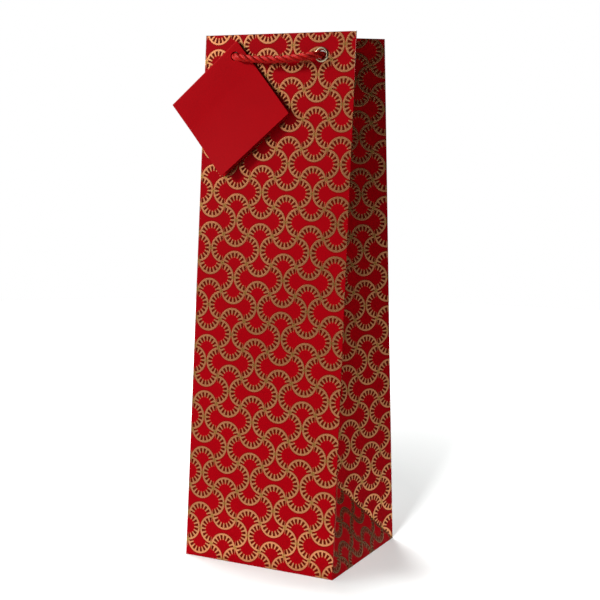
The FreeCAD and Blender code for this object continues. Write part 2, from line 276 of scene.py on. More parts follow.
def arc(
    centre: tuple[float, float], radius: float, start: float, end: float, steps: int
) -> list[tuple[float, float]]:
    """Give points along an arc, with its angles in degrees."""
    angles = [math.radians(start + (end - start) * i / steps) for i in range(steps + 1)]
    return [(centre[0] + radius * math.cos(a), centre[1] + radius * math.sin(a)) for a in angles]


def lengths(points: Sequence[tuple[float, float]]) -> list[float]:
    """Give the distance along a line of points at each of them.

    Args:
        points: The line's points.

    Returns:
        The distances, from 0 at the first point.
    """
    total = [0.0]
    for first, second in zip(points, points[1:]):
        total.append(total[-1] + math.dist(first, second))
    return total


def hand_of(across: float) -> str:
    """Name the side of the bag that a place across it is on."""
    return "left" if across < 0 else "right"


def joint(name: str) -> dict:
    """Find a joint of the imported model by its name."""
    return next(row for row in frame["joints"] if row["name"] == name)


# ---------------------------------------------------------------- finishes


class Source(Enum):
    """Where a pattern takes its place from."""

    SHEET = "sheet"
    OBJECT = "object"


@dataclass(frozen=True)
class Foil:
    """A hot-stamped repeat of linked arcs with comb teeth.

    The cell is in millimetres and the arcs are in shares of a cell. The last four values
    say how steeply each mask rises at its edge.
    """

    cell_width: float = 18.667
    cell_height: float = 19.28
    start_across: float = 0.93
    start_down: float = 14.545
    centre: tuple[float, float] = (0.51, 0.576)
    radius: tuple[float, float] = (0.5, 0.506)
    band: float = 0.064
    comb: float = 0.235
    tooth: float = 0.205
    taper: float = 0.25
    rim: float = 0.056
    slot_end: float = 0.235
    touch: float = 0.105
    pitch: float = math.radians(22.5)
    gold_edge: float = 80.0
    outline_edge: float = 11.0
    slot_edge: float = 14.0
    touch_edge: float = 11.0

    def steps(self) -> tuple[tuple, ...]:
        """Give the pattern as rows of name, operation and operands, from x and y in metres.

        Returns:
            Rows that make gold_mask, 1 on foil, foil_shade_mask, 1 in the slots and the outline,
            where shade is painted on the red beside the raised foil, and reflection_mask, 1 where
            two arcs meet, where an olive reflection is painted on the foil.
        """
        return (
            ("u", "MULTIPLY_ADD", "x", 1 / (self.cell_width * MM), self.start_across),
            ("v", "MULTIPLY_ADD", "y", -1 / (self.cell_height * MM), self.start_down),
            ("column", "FLOOR", "u"),
            ("row", "FLOOR", "v"),
            ("both", "ADD", "column", "row"),
            ("odd", "FLOORED_MODULO", "both", 2.0),
            ("u_in", "FRACT", "u"),
            ("v_in", "FRACT", "v"),
            ("a", "SUBTRACT", "u_in", 0.5),
            ("b", "SUBTRACT", "v_in", 0.5),
            ("a_far", "ABSOLUTE", "a"),
            ("b_far", "ABSOLUTE", "b"),
            ("swap_near", "SUBTRACT", "b_far", "a_far"),
            ("near", "MULTIPLY_ADD", "odd", "swap_near", "a_far"),
            ("swap_side", "SUBTRACT", "a", "b"),
            ("side", "MULTIPLY_ADD", "odd", "swap_side", "b"),
            ("centre", "MULTIPLY_ADD", "odd", self.centre[1] - self.centre[0], self.centre[0]),
            ("outer", "MULTIPLY_ADD", "odd", self.radius[1] - self.radius[0], self.radius[0]),
            ("depth", "SUBTRACT", "centre", "near"),
            ("depth_2", "MULTIPLY", "depth", "depth"),
            ("reach_2", "MULTIPLY_ADD", "side", "side", "depth_2"),
            ("reach", "SQRT", "reach_2"),
            ("inward", "SUBTRACT", "outer", "reach"),
            ("turn", "ARCTAN2", "side", "depth"),
            ("count", "DIVIDE", "turn", self.pitch),
            ("wave", "FRACT", "count"),
            ("wave_off", "SUBTRACT", "wave", 0.5),
            ("wave_far", "ABSOLUTE", "wave_off"),
            ("tooth_share", "SUBTRACT", 0.5, "wave_far"),
            ("tooth_half", "MULTIPLY_ADD", "inward", -self.taper, self.tooth + self.taper * self.band),
            ("tooth_left", "SUBTRACT", "tooth_half", "tooth_share"),
            ("tooth_angle", "MULTIPLY", "tooth_left", self.pitch),
            ("tooth_side", "MULTIPLY", "tooth_angle", "reach"),
            ("tooth_end", "SUBTRACT", self.comb, "inward"),
            ("tooth_in", "MINIMUM", "tooth_side", "tooth_end"),
            ("tooth", "MINIMUM", "tooth_in", "inward"),
            ("band_far", "SUBTRACT", self.band, "inward"),
            ("band", "MINIMUM", "inward", "band_far"),
            ("gold", "MAXIMUM", "band", "tooth"),
            ("gold_mask", "MULTIPLY_ADD", "gold", self.gold_edge, 0.5),
            # The outline and the slot fade make foil_shade_mask: painted shade on the red, along the foil's
            # outer edge and in the slots between its teeth.
            ("outline", "MULTIPLY_ADD", "inward", self.outline_edge, self.outline_edge * self.rim),
            ("slot_fade", "MULTIPLY_ADD", "inward", -self.slot_edge, self.slot_edge * self.slot_end),
            ("foil_shade_mask", "MINIMUM", "outline", "slot_fade"),
            # reflection_mask marks where two arcs meet, for a painted reflection that tints the foil olive
            # there.
            ("corner_a", "SUBTRACT", 0.5, "a_far"),
            ("corner_b", "SUBTRACT", 0.5, "b_far"),
            ("corner_2", "MULTIPLY", "corner_a", "corner_a"),
            ("corner_3", "MULTIPLY_ADD", "corner_b", "corner_b", "corner_2"),
            ("corner", "SQRT", "corner_3"),
            ("middle_2", "MULTIPLY", "a", "a"),
            ("middle_3", "MULTIPLY_ADD", "b", "b", "middle_2"),
            ("middle_4", "SQRT", "middle_3"),
            ("middle", "ADD", "middle_4", "odd"),
            ("nearest", "MINIMUM", "corner", "middle"),
            ("reflection_mask", "MULTIPLY_ADD", "nearest", -self.touch_edge, self.touch_edge * self.touch),
        )

    def masks(self, tree: bpy.types.NodeTree, place: bpy.types.NodeSocket) -> dict[str, bpy.types.NodeSocket]:
        """Build the pattern in a node tree.

        Args:
            tree: The material's node tree.
            place: The place on the sheet, in metres.

        Returns:
            Every named step's output socket.
        """
        parts = node(tree, "SeparateXYZ", {"Vector": place})
        made = {"x": parts.outputs["X"], "y": parts.outputs["Y"]}
        for name, operation, *operands in self.steps():
            values = {i: made[o] if isinstance(o, str) else o for i, o in enumerate(operands)}
            step = node(tree, "Math", values, operation=operation, use_clamp=name.endswith("_mask"))
            made[name] = step.outputs[0]
        return made


@dataclass(frozen=True)
class Finish:
    """What every finish has: the name of the real material."""

    name: str

    def start(self) -> tuple[bpy.types.Material, bpy.types.NodeTree, bpy.types.Node]:
        """Make an empty material with a surface shader.

        Returns:
            The material, its node tree and its Principled shader.
        """
        material = bpy.data.materials.new(self.name)
        material.use_nodes = True
        tree = material.node_tree
        tree.nodes.clear()
        shader = node(tree, "BsdfPrincipled")
        node(tree, "OutputMaterial", {"Surface": shader.outputs["BSDF"]})
        return material, tree, shader

    def place(self, tree: bpy.types.NodeTree, source: Source) -> bpy.types.NodeSocket:
        """Give the socket that a pattern takes its place from."""
        if source is Source.SHEET:
            return node(tree, "UVMap", uv_map="sheet").outputs["UV"]
        return node(tree, "TexCoord").outputs["Object"]


@dataclass(frozen=True)
class PrintedPaper(Finish):
    """Art paper printed red, laminated and hot-stamped with metallic foil.

    The film gives the red an even satin sheen with a slight orange peel, and the foil
    mirrors the room in a warm tone, a hair above the paper that it is pressed on. Shade is
    painted on the red beside the foil and in its slots, and a reflection is painted as an
    olive tint where two arcs meet.
    """

    source: Source = Source.SHEET
    red: str = "#AC000E"
    red_low: str = "#9C000B"
    # Painted shade: the dark red laid beside the raised foil and in its slots.
    foil_shade_red: str = "#5E0C00"
    gold: str = "#DC9468"
    gold_low: str = "#C27E50"
    # Painted reflection: the olive that the foil is tinted where two arcs meet.
    reflection_olive: str = "#A0803E"
    foil: Foil = Foil()
    red_roughness: float = 0.42
    gold_roughness: float = 0.24
    specular: float = 0.02
    ink_cloud: float = 71.43
    foil_rub: float = 11.11
    film_grain: float = 0.9
    film_relief: float = 0.1
    foil_lift: float = 0.05

    def build(self) -> bpy.types.Material:
        """Build the material."""
        material, tree, shader = self.start()
        place = self.place(tree, self.source)
        masks = self.foil.masks(tree, place)
        ink = node(tree, "TexNoise", {"Vector": place, "Scale": 1 / (self.ink_cloud * MM), "Detail": 3.0})
        rub = node(tree, "TexNoise", {"Vector": place, "Scale": 1 / (self.foil_rub * MM), "Detail": 4.0})
        tones: dict[str, bpy.types.NodeSocket] = {}
        for name, share, low, high in (
            ("red", ink.outputs["Fac"], self.red, self.red_low),
            ("under", masks["foil_shade_mask"], "red", self.foil_shade_red),
            # under lays the painted shade on the red; foil_reflected tints the foil with the painted olive
            # reflection.
            ("foil", rub.outputs["Fac"], self.gold, self.gold_low),
            ("foil_reflected", masks["reflection_mask"], "foil", self.reflection_olive),
            ("surface", masks["gold_mask"], "under", "foil_reflected"),
        ):
            ends = {i: tones[end] if end in tones else linear(end) for i, end in ((6, low), (7, high))}
            tones[name] = node(tree, "Mix", {"Factor": share, **ends}, data_type="RGBA").outputs[2]
        levels = {"To Min": self.red_roughness, "To Max": self.gold_roughness}
        smooth = node(tree, "MapRange", {"Value": masks["gold_mask"], **levels})
        grain = node(tree, "TexNoise", {"Vector": place, "Scale": 1 / (self.film_grain * MM), "Detail": 2.0})
        peel = node(
            tree,
            "Bump",
            {"Height": grain.outputs["Fac"], "Strength": 0.08, "Distance": self.film_relief * MM},
        )
        raised = node(
            tree,
            "Bump",
            {
                "Height": masks["gold_mask"],
                "Strength": 0.5,
                "Distance": self.foil_lift * MM,
                "Normal": peel.outputs["Normal"],
            },
        )
        feed(
            shader,
            {
                "Base Color": tones["surface"],
                "Metallic": masks["gold_mask"],
                "Roughness": smooth.outputs["Result"],
                "Normal": raised.outputs["Normal"],
                "Specular IOR Level": self.specular,
            },
        )
        return material


@dataclass(frozen=True)
class PlainPaper(Finish):
    """Uncoated paper or pulp board, whose felted fibres give a matt, faintly mottled face."""

    source: Source = Source.SHEET
    pale: str = "#EDEAE4"
    dark: str = "#D8D3CA"
    fibre: float = 0.6
    fleck: float = 5.0
    fleck_share: float = 0.35
    relief: float = 0.12
    fleck_span: tuple[float, float] = (0.35, 0.75)
    fibre_lay: tuple[float, float, float] = (1.0, 0.35, 1.0)
    roughness: float = 0.88
    specular: float = 0.3

    def build(self) -> bpy.types.Material:
        """Build the material."""
        material, tree, shader = self.start()
        place = self.place(tree, self.source)
        mottle = node(tree, "TexNoise", {"Vector": place, "Scale": 1 / (self.fleck * MM), "Detail": 6.0})
        low, high = self.fleck_span
        span = {"From Min": low, "From Max": high, "To Max": self.fleck_share}
        amount = node(tree, "MapRange", {"Value": mottle.outputs["Fac"], **span})
        ends = {6: linear(self.pale), 7: linear(self.dark)}
        tone = node(tree, "Mix", {"Factor": amount.outputs["Result"], **ends}, data_type="RGBA")
        laid = node(tree, "Mapping", {"Vector": place, "Scale": self.fibre_lay}).outputs["Vector"]
        fibres = node(tree, "TexNoise", {"Vector": laid, "Scale": 1 / (self.fibre * MM), "Detail": 4.0})
        felt = node(
            tree,
            "Bump",
            {"Height": fibres.outputs["Fac"], "Strength": 0.35, "Distance": self.relief * MM},
        )
        feed(
            shader,
            {
                "Base Color": tone.outputs[2],
                "Normal": felt.outputs["Normal"],
                "Roughness": self.roughness,
                "Specular IOR Level": self.specular,
            },
        )
        return material


@dataclass(frozen=True)
class CoatedCard(Finish):
    """Card with a satin red coating, smoother than the bag and showing a slight felt grain."""

    red: str = "#AE000C"
    deep: str = "#A0000A"
    cloud: float = 22.22
    grain: float = 1.2
    relief: float = 0.1
    roughness: float = 0.45
    specular: float = 0.02

    def build(self) -> bpy.types.Material:
        """Build the material."""
        material, tree, shader = self.start()
        place = self.place(tree, Source.SHEET)
        cloud = node(tree, "TexNoise", {"Vector": place, "Scale": 1 / (self.cloud * MM), "Detail": 3.0})
        ends = {6: linear(self.red), 7: linear(self.deep)}
        tone = node(tree, "Mix", {"Factor": cloud.outputs["Fac"], **ends}, data_type="RGBA")
        felt = node(tree, "TexNoise", {"Vector": place, "Scale": 1 / (self.grain * MM), "Detail": 4.0})
        bump = node(
            tree,
            "Bump",
            {"Height": felt.outputs["Fac"], "Strength": 0.12, "Distance": self.relief * MM},
        )
        feed(
            shader,
            {
                "Base Color": tone.outputs[2],
                "Normal": bump.outputs["Normal"],
                "Roughness": self.roughness,
                "Specular IOR Level": self.specular,
            },
        )
        return material


@dataclass(frozen=True)
class PaleBrass(Finish):
    """Stamped brass with a pale lacquer: bright, with fine turning marks and dull patches."""

    bright: str = "#E6D9B8"
    dull: str = "#A99B78"
    patch: float = 1.4286
    mark: float = 0.35
    relief: float = 0.05
    roughness: tuple[float, float] = (0.08, 0.24)

    def build(self) -> bpy.types.Material:
        """Build the material."""
        material, tree, shader = self.start()
        place = self.place(tree, Source.OBJECT)
        patch = node(tree, "TexNoise", {"Vector": place, "Scale": 1 / (self.patch * MM), "Detail": 3.0})
        ends = {6: linear(self.bright), 7: linear(self.dull)}
        tone = node(tree, "Mix", {"Factor": patch.outputs["Fac"], **ends}, data_type="RGBA")
        low, high = self.roughness
        rough = node(tree, "MapRange", {"Value": patch.outputs["Fac"], "To Min": low, "To Max": high})
        marks = node(tree, "TexNoise", {"Vector": place, "Scale": 1 / (self.mark * MM), "Detail": 2.0})
        bump = node(
            tree,
            "Bump",
            {"Height": marks.outputs["Fac"], "Strength": 0.1, "Distance": self.relief * MM},
        )
        feed(
            shader,
            {
                "Base Color": tone.outputs[2],
                "Roughness": rough.outputs["Result"],
                "Normal": bump.outputs["Normal"],
                "Metallic": 1.0,
            },
        )
        return material


@dataclass(frozen=True)
class RopeFibre(Finish):
    """Dyed polypropylene filament, laid in three strands: a silky red with fine yarns.

    The place on a strand is its length in metres and its turn as a share of a circle. The
    real filaments are a tenth of this width, too fine to show, so they are drawn as yarns.
    The yarns' crests are painted the bright red, as a highlight, and the grooves between
    them the deep red, as shade.
    """

    # Painted highlight on the yarns' crests, and painted shade in the grooves between them.
    bright: str = "#DE1E10"
    deep: str = "#9A0810"
    yarns: float = 9.0
    yarn_lean: float = 260.0
    fuzz: float = 10 / 9
    fuzz_share: float = 0.6
    relief: float = 0.18
    roughness: float = 0.4
    specular: float = 0.14

    def build(self) -> bpy.types.Material:
        """Build the material."""
        material, tree, shader = self.start()
        place = self.place(tree, Source.SHEET)
        parts = node(tree, "SeparateXYZ", {"Vector": place}).outputs
        lean = node(tree, "Math", {0: parts["X"], 1: self.yarn_lean}, operation="MULTIPLY")
        turn_inputs = {0: parts["Y"], 1: self.yarns, 2: lean.outputs[0]}
        turn = node(tree, "Math", turn_inputs, operation="MULTIPLY_ADD")
        angle = node(tree, "Math", {0: turn.outputs[0], 1: math.tau}, operation="MULTIPLY")
        wave = node(tree, "Math", {0: angle.outputs[0]}, operation="SINE")
        fuzz = node(tree, "TexNoise", {"Vector": place, "Scale": 1 / (self.fuzz * MM), "Detail": 3.0})
        yarn = node(tree, "MapRange", {"Value": wave.outputs[0], "From Min": -1.0}).outputs["Result"]
        height_inputs = {0: fuzz.outputs["Fac"], 1: self.fuzz_share, 2: yarn}
        height = node(tree, "Math", height_inputs, operation="MULTIPLY_ADD")
        # Painted light: the deep red shades the grooves and the bright red lights the crests.
        ends = {6: linear(self.deep), 7: linear(self.bright)}
        tone = node(tree, "Mix", {"Factor": yarn, **ends}, data_type="RGBA")
        bump = node(
            tree, "Bump", {"Height": height.outputs[0], "Strength": 0.7, "Distance": self.relief * MM}
        )
        feed(
            shader,
            {
                "Base Color": tone.outputs[2],
                "Normal": bump.outputs["Normal"],
                "Roughness": self.roughness,
                "Specular IOR Level": self.specular,
            },
        )
        return material


@dataclass
class Wardrobe:
    """Every finish of the bag, built once."""

    printed: bpy.types.Material = field(init=False)
    printed_base: bpy.types.Material = field(init=False)
    paper_back: bpy.types.Material = field(init=False)
    plain_back: bpy.types.Material = field(init=False)
    grey_board: bpy.types.Material = field(init=False)
    base_board: bpy.types.Material = field(init=False)
    brass: bpy.types.Material = field(init=False)
    rope: bpy.types.Material = field(init=False)
    card: bpy.types.Material = field(init=False)

    def __post_init__(self) -> None:
        """Build the materials."""
        self.printed = PrintedPaper("foil_stamped_art_paper").build()
        self.printed_base = PrintedPaper("foil_stamped_art_paper_flap", Source.OBJECT).build()
        self.paper_back = PlainPaper("uncoated_paper_back").build()
        self.plain_back = PlainPaper("uncoated_paper_lap", Source.OBJECT).build()
        self.grey_board = PlainPaper(
            "grey_mill_board", Source.OBJECT, "#A49D92", "#7F786D", 0.9, 3.0, 0.6, 0.2
        ).build()
        self.base_board = PlainPaper(
            "white_lined_board", Source.OBJECT, "#D6D2CA", "#B5AFA4", 0.8, 4.0, 0.5, 0.15
        ).build()
        self.brass = PaleBrass("lacquered_brass").build()
        self.rope = RopeFibre("laid_polypropylene_rope").build()
        self.card = CoatedCard("coated_tag_card").build()


def dress(piece: bpy.types.Object, *materials: bpy.types.Material) -> None:
    """Put materials in a piece's slots, in order."""
    while len(piece.data.materials) < len(materials):
        piece.data.materials.append(None)
    for index, material in enumerate(materials):
        piece.data.materials[index] = material


# ---------------------------------------------------------------- the paper wrap


@dataclass
class Wrap:
    """The folded sheet: two big panels with their hems, and two pleated sides."""

    clothes: Wardrobe
    width: float = 112.0
    depth: float = 105.0
    height: float = 356.0
    paper: float = 0.3
    stack: float = 1.4
    hem_drop: float = 40.0
    fold_radius: float = 0.7
    eyelet_reach: float = 31.5
    eyelet_drop: float = 14.6
    hole: float = 3.65
    foot_start: tuple[float, float] = (0.05, -1.6)
    foot_radius: float = 0.6
    face_start: float = 4.0
    roll_ends: tuple[float, float] = (2.0, 2.5)
    ripple_height: float = 0.9
    ripple_middle: float = 0.5
    ripple_waves: tuple[tuple[float, float, float], ...] = ((0.35, 41.0, 37.0), (0.2, 23.0, -19.0))
    bow: float = 0.8
    foot_tuck: float = 1.4
    hem_half: float = field(init=False)
    front: Board3D = field(init=False)
    back: Board3D = field(init=False)

    def __post_init__(self) -> None:
        """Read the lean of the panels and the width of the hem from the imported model."""
        self.front = self.panel_frame("front", Vector((1, 0, 0)))
        self.back = self.panel_frame("back", Vector((-1, 0, 0)))
        low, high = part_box("front_hem")
        self.hem_half = (high.x - low.x) / 2 / MM

    def panel_frame(self, side: str, across: Vector) -> Board3D:
        """Work out a panel's frame from its fold's joint and its box.

        Args:
            side: front or back.
            across: The direction across the panel.

        Returns:
            The frame, with its origin in the middle of the bottom fold.
        """
        low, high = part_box(f"{side}_panel")
        lean = math.atan2(high.y - low.y - self.paper * MM, high.z - low.z)
        inward = Vector((0, 0, 1)).cross(across)
        up = inward * math.sin(lean) + Vector((0, 0, math.cos(lean)))
        pivot = Vector(joint(f"{side}_panel_fold")["pos_m"])
        return Board3D(pivot, across, up, across.cross(up))

    def ripple(self, across: float, up: float) -> float:
        """Give how far a panel stands out at a place, fading to nothing at its folds.

        Args:
            across: The place across the panel, in millimetres from its middle.
            up: The place up the panel, in millimetres.

        Returns:
            The distance in millimetres.
        """
        edge = max(0.0, 1 - (2 * across / self.width) ** 2)
        rise = math.sin(math.pi * min(1.0, max(0.0, up / (self.height - self.hem_drop))))
        waves = (size * math.sin(up / tall + across / wide) for size, tall, wide in self.ripple_waves)
        return self.ripple_height * edge * rise * sum(waves, self.ripple_middle)

    def make_panel(self, side: str, board: Board3D, start: float) -> None:
        """Make a panel: a rounded foot, the printed face, the rolled mouth and the leaf inside.

        Args:
            side: front or back.
            board: The panel's frame.
            start: Where the print is at the middle of the panel, in millimetres.
        """
        r, bend, half = self.stack / 2, self.foot_radius, self.width / 2 - self.fold_radius
        face_end, leaf_start = (self.height - down for down in self.roll_ends)
        foot = [self.foot_start] + arc((self.foot_start[0] + bend, -bend), bend, 180, 90, 5)
        face = [(up, 0.0) for up in spread(self.face_start, face_end, 88)]
        roll = arc((self.height - r, -r), r, 90, -90, 8)
        leaf = [(up, -self.stack) for up in spread(leaf_start, self.height - self.hem_drop, 14)]
        line = foot + face + roll + leaf
        run = lengths(line)
        zero = run[len(foot)] - self.face_start
        # Past the roll's third point, the paper is as narrow as the hem.
        top = len(foot) + len(face) + 3

        def place(share: float, index: float) -> Vector:
            """Give the paper's place at a share of its width and a step along its line."""
            up, out = line[int(index)]
            width = half if index < top else self.hem_half
            across = share * width
            out += self.ripple(across, up) if index < top else 0.0
            return board.point(across, up, out)

        def printed(share: float, index: float) -> tuple[float, float]:
            """Give the print's place there, in metres."""
            width = half if index < top else self.hem_half
            return ((start + share * width) * MM, (run[int(index)] - zero) * MM)

        piece = lay_sheet(
            f"{side}_panel_paper",
            spread(-1, 1, 44),
            list(range(len(line))),
            place,
            printed,
            board.out,
            self.paper,
        )
        for reach in (-self.eyelet_reach, self.eyelet_reach):
            punch(piece, board, reach, self.height - self.eyelet_drop, self.hole)
        soften(piece)
        dress(piece, self.clothes.printed, self.clothes.paper_back, self.clothes.paper_back)
        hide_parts(f"{side}_panel", f"{side}_hem")
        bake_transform(piece)

    def crease(self, hand: int) -> tuple[Vector, Vector]:
        """Give the foot and head of a side's middle crease, in metres.

        Args:
            hand: 1 for the right side and -1 for the left.

        Returns:
            The crease's lower and upper ends.
        """
        front_head, back_head = self.front.point(0, self.height), self.back.point(0, self.height)
        half_mouth = (back_head.y - front_head.y) / 2
        half = self.depth / 2 * MM
        inset = math.sqrt(half**2 - half_mouth**2)
        edge = self.width / 2 * MM
        head = Vector((hand * (edge - inset), front_head.y + half_mouth, (front_head.z + back_head.z) / 2))
        name = hand_of(hand)
        low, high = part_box(f"{name}_gusset_base_triangle")
        lean = math.atan2(high.x - low.x, high.z - low.z)
        foot = Vector((hand * (edge - half * math.sin(lean)), 0.0, half * math.cos(lean)))
        return foot, head

    def make_gusset_half(self, hand: int, which: str, corner: float) -> None:
        """Make half of a pleated side: a rounded corner, then paper that twists to the crease.

        Args:
            hand: 1 for the right side and -1 for the left.
            which: front or rear.
            corner: Where the print is at the bag's corner, in millimetres.
        """
        is_front = which == "front"
        board = self.front if is_front else self.back
        edge = hand * self.width / 2 * (1 if is_front else -1)
        foot, head = board.point(edge, 0), board.point(edge, self.height)
        low, high = self.crease(hand)
        half = self.depth / 2
        toward = board.across * math.copysign(1.0, edge)
        r = self.fold_radius
        way = hand if is_front else -hand
        # From -1 to 0 the stations go round the corner, and then across to the crease.
        stations = spread(-1.0, 0.0, 6) + spread(half / 12, half, 11)

        def flat(a: float, b: float) -> Vector:
            """Give a place on the half as if it had no bow or rounded corner."""
            return foot.lerp(head, b).lerp(low.lerp(high, b), a / half)

        def place(a: float, b: float) -> Vector:
            """Give the paper's place at a station across and a share of its height."""
            here = flat(0.0, b)
            into = (flat(half, b) - here).normalized()
            if a > 0:
                bow = self.bow * math.sin(math.pi * a / half) * math.sin(math.pi * b)
                normal = into.cross(board.up).normalized()
                normal *= math.copysign(1.0, normal.dot(Vector((hand, 0, 0))))
                start = here + into * r * MM
                return start.lerp(flat(half, b), a / half) + normal * bow * MM
            start, end = here - toward * r * MM, here + into * r * MM
            t = a + 1.0
            return start * (1 - t) ** 2 + here * 2 * t * (1 - t) + end * t**2

        def printed(a: float, b: float) -> tuple[float, float]:
            """Give the print's place there, in metres."""
            along = a if a > 0 else (2 * a + 1) * r
            low_end = max(a, 0.0)
            return ((corner + way * along) * MM, (low_end + b * (self.height - low_end)) * MM)

        name = hand_of(hand)
        piece = lay_sheet(
            f"{name}_gusset_{which}_paper",
            stations,
            spread(0.0, 1.0, 60),
            place,
            printed,
            Vector((hand, 0, 0)),
            self.paper,
        )
        dress(piece, self.clothes.printed, self.clothes.paper_back, self.clothes.paper_back)
        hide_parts(f"{name}_gusset_{which}_half")
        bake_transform(piece)
        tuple(foot)

    def make_foot(self, hand: int, corner: float) -> None:
        """Make the flat triangle that a side opens into over the base.

        Args:
            hand: 1 for the right side and -1 for the left.
            corner: Where the print is at the bag's front corner, in millimetres.
        """
        low, _ = self.crease(hand)
        half = self.depth / 2
        edge = Vector((hand * self.width / 2 * MM, 0, 0))
        rise = (low - edge) / half

        def reach(up: float) -> float:
            """Give how far the foot goes each way at a height, tucked under the halves."""
            return min(half - up + self.foot_tuck, half)

        def place(share: float, up: float) -> Vector:
            """Give the foot's place at a share of its reach and a height."""
            return edge + rise * up + Vector((0, share * reach(up) * MM, 0))

        def printed(share: float, up: float) -> tuple[float, float]:
            """Give the print's place there, in metres."""
            return ((corner + hand * (half + share * reach(up))) * MM, up * MM)

        name = hand_of(hand)
        piece = lay_sheet(
            f"{name}_gusset_foot_paper",
            spread(-1, 1, 24),
            spread(0.1, half, 24),
            place,
            printed,
            Vector((hand, 0, 0)),
            self.paper,
        )
        dress(piece, self.clothes.printed, self.clothes.paper_back, self.clothes.paper_back)
        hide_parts(f"{name}_gusset_base_triangle")
        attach(piece, "base")

    def build(self) -> None:
        """Make every piece of the wrap, with one print running round all its folds."""
        half = self.width / 2
        self.make_panel("front", self.front, -half)
        self.make_panel("back", self.back, self.depth + half)
        for hand in (1, -1):
            front_corner = 0.0 if hand > 0 else -self.width
            rear_corner = front_corner + hand * self.depth
            self.make_gusset_half(hand, "front", front_corner)
            self.make_gusset_half(hand, "rear", rear_corner)
            self.make_foot(hand, front_corner)
        LOG.info("wrap: panels, pleated sides and their feet")


@dataclass
class Stiffening:
    """The boards in the hem, the block bottom and the glued lap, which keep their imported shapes."""

    clothes: Wardrobe

    def build(self) -> None:
        """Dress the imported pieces."""
        finishes = {
            "front_mouth_board": self.clothes.grey_board,
            "back_mouth_board": self.clothes.grey_board,
            "base_card": self.clothes.base_board,
            "base_back_flap": self.clothes.printed_base,
            "base_front_flap": self.clothes.printed_base,
            "base_left_side_flap": self.clothes.plain_back,
            "base_right_side_flap": self.clothes.plain_back,
            "glue_seam_tab": self.clothes.plain_back,
        }
        for name, material in finishes.items():
            dress(frame["nodes"][name], material)
        LOG.info("stiffening: %d packed pieces", len(finishes))


# ---------------------------------------------------------------- eyelets


@dataclass
class Eyelets:
    """Four stamped eyelets, each turned from one closed outline of radius and height."""

    clothes: Wardrobe
    wrap: Wrap
    outline: tuple[tuple[float, float], ...] = (
        (3.10, -1.9),
        (3.10, 0.02),
        (3.17, 0.24),
        (3.37, 0.46),
        (3.68, 0.63),
        (4.05, 0.70),
        (4.42, 0.63),
        (4.73, 0.46),
        (4.93, 0.24),
        (5.00, 0.02),
        (3.60, 0.02),
        (3.60, -1.74),
        (4.28, -1.76),
        (4.40, -1.92),
        (4.30, -2.10),
        (3.90, -2.19),
        (3.35, -2.16),
        (3.10, -1.9),
    )

    def build(self) -> None:
        """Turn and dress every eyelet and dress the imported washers."""
        for side, board in (("front", self.wrap.front), ("back", self.wrap.back)):
            for reach in (-self.wrap.eyelet_reach, self.wrap.eyelet_reach):
                centre = board.point(reach, self.wrap.height - self.wrap.eyelet_drop)
                hand = hand_of(centre.x)
                self.turn(f"{side}_{hand}_eyelet", board, reach, side)
                dress(frame["nodes"][f"{side}_{hand}_washer"], self.clothes.brass)
        LOG.info("eyelets: four turned, with their washers")

    def turn(self, name: str, board: Board3D, reach: float, body: str) -> None:
        """Draw an eyelet's outline as a chain of edges and spin it about the hole's axis.

        Args:
            name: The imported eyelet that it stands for.
            board: The frame of the panel that it sits in.
            reach: Its place across the panel, in millimetres.
            body: The body that it moves with.
        """
        height = self.wrap.height - self.wrap.eyelet_drop
        centre = board.point(reach, height)
        points = [board.point(reach + radius, height, out) for radius, out in self.outline]
        clear_selection()
        bpy.ops.mesh.primitive_plane_add(size=MM, location=points[0])
        piece = bpy.context.object
        piece.name = f"{name}_rolled"
        bpy.ops.object.transform_apply(location=True, rotation=True, scale=True)
        bpy.ops.object.mode_set(mode="EDIT")
        bpy.ops.mesh.select_all(action="SELECT")
        bpy.ops.mesh.merge(type="CENTER")
        for here, there in zip(points, points[1:]):
            bpy.ops.mesh.extrude_vertices_move(TRANSFORM_OT_translate={"value": there - here})
        bpy.ops.mesh.select_all(action="SELECT")
        bpy.ops.mesh.spin(steps=56, angle=math.tau, center=centre, axis=board.out)
        bpy.ops.mesh.select_all(action="SELECT")
        bpy.ops.mesh.remove_doubles(threshold=0.00002)
        bpy.ops.mesh.normals_make_consistent(inside=False)
        bpy.ops.object.mode_set(mode="OBJECT")
        soften(piece, 50)
        dress(piece, self.clothes.brass)
        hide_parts(name)
        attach(piece, body)


# ---------------------------------------------------------------- handles


